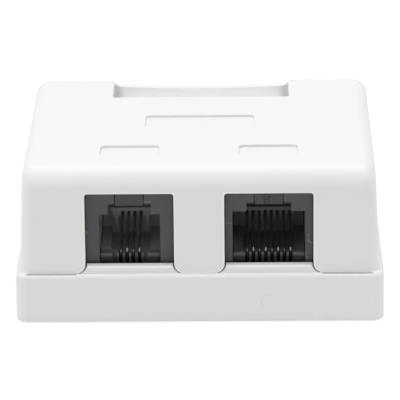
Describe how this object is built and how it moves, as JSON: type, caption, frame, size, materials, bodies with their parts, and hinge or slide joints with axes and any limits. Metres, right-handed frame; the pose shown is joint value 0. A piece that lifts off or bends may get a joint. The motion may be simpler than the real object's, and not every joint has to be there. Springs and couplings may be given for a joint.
{
  "type": "surface mount jack box",
  "caption": "White surface mount jack box: base tray with a clipped, drafted cover, a six-position and an eight-position jack on terminal boards.",
  "frame": {"origin": "middle of the base's underside, which lies against the wall or desk", "axes": "+Z away from the mounting surface, the jacks face -Y, +X to the right of someone looking into them"},
  "size_m": [0.0602, 0.0512, 0.0264],
  "materials": {
    "white_abs": "fine moulded satin",
    "white_abs_cover": "fine moulded satin",
    "charcoal_plastic": "satin",
    "charcoal_insert": "satin",
    "green_board": "solder mask",
    "ivory_plastic": "satin",
    "clear_white_plastic": "satin",
    "gold_contact": "gold plated",
    "tinned_bronze": "tin plated"
  },
  "bodies": {
    "base_body": {"base": "white_abs", "six_position_jack_housing": "charcoal_plastic", "six_position_contact_carrier": "charcoal_insert", "six_position_circuit_board": "green_board", "six_position_terminal_block": "ivory_plastic", "six_position_contact_wire_1": "gold_contact", "six_position_terminal_contact_1": "tinned_bronze", "six_position_contact_wire_2": "gold_contact", "six_position_terminal_contact_2": "tinned_bronze", "six_position_contact_wire_3": "gold_contact", "six_position_terminal_contact_3": "tinned_bronze", "six_position_contact_wire_4": "gold_contact", "six_position_terminal_contact_4": "tinned_bronze", "eight_position_jack_housing": "charcoal_plastic", "eight_position_contact_carrier": "charcoal_insert", "eight_position_circuit_board": "green_board", "eight_position_terminal_block": "ivory_plastic", "eight_position_contact_wire_1": "gold_contact", "eight_position_terminal_contact_1": "tinned_bronze", "eight_position_contact_wire_2": "gold_contact", "eight_position_terminal_contact_2": "tinned_bronze", "eight_position_contact_wire_3": "gold_contact", "eight_position_terminal_contact_3": "tinned_bronze", "eight_position_contact_wire_4": "gold_contact", "eight_position_terminal_contact_4": "tinned_bronze", "eight_position_contact_wire_5": "gold_contact", "eight_position_terminal_contact_5": "tinned_bronze", "eight_position_contact_wire_6": "gold_contact", "eight_position_terminal_contact_6": "tinned_bronze", "eight_position_contact_wire_7": "gold_contact", "eight_position_terminal_contact_7": "tinned_bronze", "eight_position_contact_wire_8": "gold_contact", "eight_position_terminal_contact_8": "tinned_bronze"},
    "cover_body": {"cover": "white_abs_cover"},
    "six_position_cap_body": {"six_position_stuffer_cap": "clear_white_plastic"},
    "eight_position_cap_body": {"eight_position_stuffer_cap": "clear_white_plastic"}
  },
  "joints": [
    {"name": "cover_lift", "type": "slide", "parent": "base_body", "child": "cover_body", "axis": [0, 0, 1], "range_m": [0, 0.03]},
    {"name": "six_position_cap_lift", "type": "slide", "parent": "base_body", "child": "six_position_cap_body", "axis": [0, 0, 1], "range_m": [0, 0.006]},
    {"name": "eight_position_cap_lift", "type": "slide", "parent": "base_body", "child": "eight_position_cap_body", "axis": [0, 0, 1], "range_m": [0, 0.006]}
  ]
}
